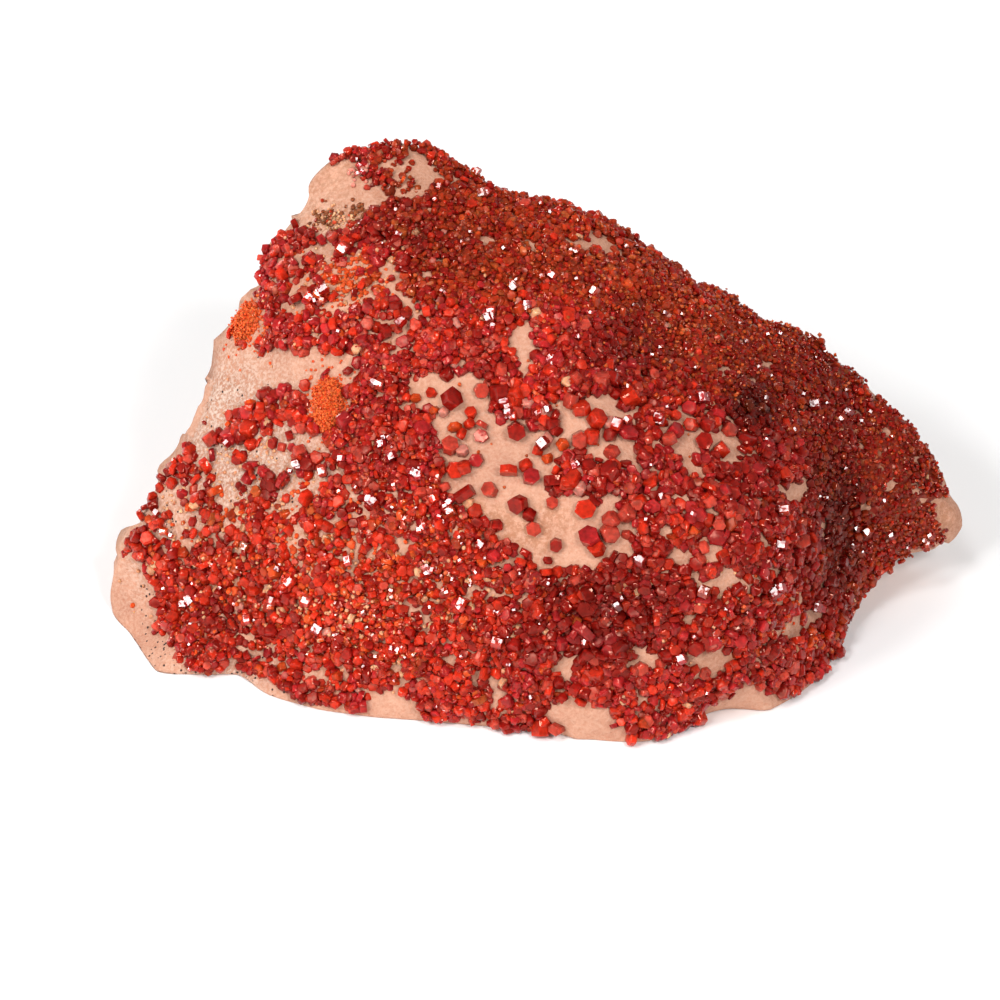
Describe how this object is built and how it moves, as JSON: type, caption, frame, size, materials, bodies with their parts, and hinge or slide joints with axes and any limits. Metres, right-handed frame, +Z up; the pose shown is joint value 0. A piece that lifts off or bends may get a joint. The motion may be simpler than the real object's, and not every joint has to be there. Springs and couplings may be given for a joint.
{
  "type": "crystal druse specimen",
  "caption": "Mineral specimen: a chunk of salmon-pink rock standing on a flat underside, its leaning front covered by a crust of red hexagonal vanadinite crystals.",
  "frame": {"origin": "middle of the footprint's bounding box, on the ground under the flat underside", "axes": "+X along the specimen's length to its right, +Y to the back, +Z up; the crystal face leans back and looks to -Y"},
  "size_m": [0.1846, 0.1026, 0.0925],
  "materials": {
    "salmon_stone": "matt, fine-grained salmon-pink stone",
    "red_crystal": "glossy deep red crystal faces",
    "orange_crystal": "bright orange, very fine crystals",
    "lone_crystal": "glossy clear red crystal faces"
  },
  "bodies": {
    "root": {"matrix": "salmon_stone", "vanadinite_crust": "red_crystal", "orange_cluster_upper": "orange_crystal", "orange_cluster_lower": "orange_crystal", "crystal_01": "lone_crystal", "crystal_02": "lone_crystal", "crystal_03": "lone_crystal", "crystal_04": "lone_crystal", "crystal_05": "lone_crystal", "crystal_06": "lone_crystal", "crystal_07": "lone_crystal", "crystal_08": "lone_crystal", "crystal_09": "lone_crystal", "crystal_10": "lone_crystal", "crystal_11": "lone_crystal", "crystal_12": "lone_crystal", "crystal_13": "lone_crystal", "crystal_14": "lone_crystal", "crystal_15": "lone_crystal", "crystal_16": "lone_crystal", "crystal_17": "lone_crystal", "crystal_18": "lone_crystal", "crystal_19": "lone_crystal", "crystal_20": "lone_crystal", "crystal_21": "lone_crystal", "crystal_22": "lone_crystal"}
  },
  "joints": []
}
